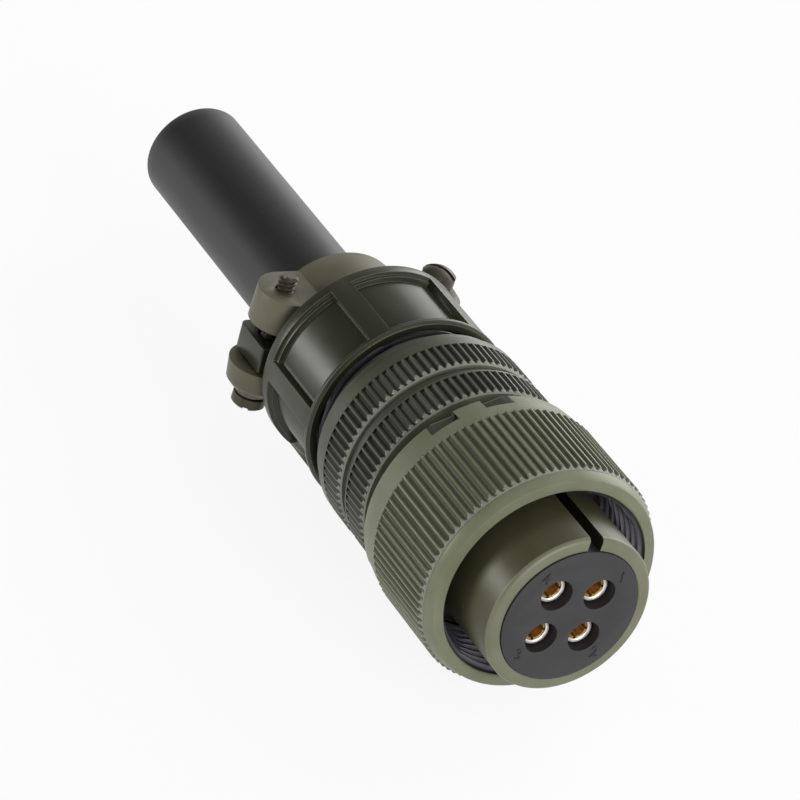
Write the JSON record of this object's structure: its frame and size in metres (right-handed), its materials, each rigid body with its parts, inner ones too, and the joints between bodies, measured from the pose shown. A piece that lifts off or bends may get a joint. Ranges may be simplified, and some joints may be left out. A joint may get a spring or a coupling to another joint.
{
  "type": "aviation plug connector",
  "caption": "Straight circular cable plug with a fluted coupling nut, keyed barrel, socket contacts, two-screw cable clamp and long rubber bushing.",
  "frame": {"origin": "centre of the barrel's front face", "axes": "+X along the plug's axis in the mating direction, +Z square to the faces of the clamp bars, with the keyway 3.5 degrees from +Z towards +Y"},
  "size_m": [0.1134, 0.0332, 0.0332],
  "materials": {
    "olive_shell": "olive drab conversion coat on aluminium, satin",
    "olive_nut": "olive drab conversion coat on aluminium, satin",
    "olive_clamp": "olive drab coat on die-cast metal, satin",
    "insert_resin": "moulded dark grey resin, matt",
    "gold_plate": "gold plate on copper alloy",
    "bright_steel": "bright drawn",
    "spring_steel": "plain",
    "screw_steel": "brownish plate",
    "black_rubber": "smooth matt"
  },
  "bodies": {
    "plug_body": {"front_shell": "olive_shell", "nut_retaining_ring": "spring_steel", "front_insulator": "insert_resin", "rear_insulator": "insert_resin", "insert_retaining_ring": "spring_steel", "shell_gasket": "black_rubber", "back_shell": "olive_shell", "clamp_body": "olive_clamp", "cable_bushing": "black_rubber", "contact_1": "gold_plate", "contact_2": "gold_plate", "contact_3": "gold_plate", "contact_4": "gold_plate", "hood_1": "bright_steel", "hood_2": "bright_steel", "hood_3": "bright_steel", "hood_4": "bright_steel"},
    "nut": {"coupling_nut": "olive_nut"},
    "top_bar": {"upper_saddle": "olive_clamp", "washer_right": "spring_steel"},
    "bottom_bar": {"lower_saddle": "olive_clamp", "washer_left": "spring_steel"},
    "right_screw": {"screw_right": "screw_steel"},
    "left_screw": {"screw_left": "screw_steel"}
  },
  "joints": [
    {"name": "nut_spin", "type": "hinge", "parent": "plug_body", "child": "nut", "pos_m": [-0.015, 0, 0], "axis": [1, 0, 0], "continuous": true},
    {"name": "top_bar_slide", "type": "slide", "parent": "plug_body", "child": "top_bar", "axis": [0, 0.0698, 0.9976], "range_m": [0, 0.0012]},
    {"name": "bottom_bar_slide", "type": "slide", "parent": "plug_body", "child": "bottom_bar", "axis": [0, -0.0698, -0.9976], "range_m": [0, 0.0012]},
    {"name": "right_screw_turn", "type": "hinge", "parent": "top_bar", "child": "right_screw", "pos_m": [-0.0642, 0.0116, 0], "axis": [0, 0.0698, 0.9976], "range_deg": [0, 1361]},
    {"name": "left_screw_turn", "type": "hinge", "parent": "bottom_bar", "child": "left_screw", "pos_m": [-0.0642, -0.0116, 0], "axis": [0, -0.0698, -0.9976], "range_deg": [0, 1361]}
  ],
  "couplings": [
    {"joint": "bottom_bar_slide", "follows": "top_bar_slide", "ratio": 1},
    {"joint": "right_screw_turn", "follows": "top_bar_slide", "rad_per_m": 19789},
    {"joint": "left_screw_turn", "follows": "top_bar_slide", "rad_per_m": 19789}
  ]
}
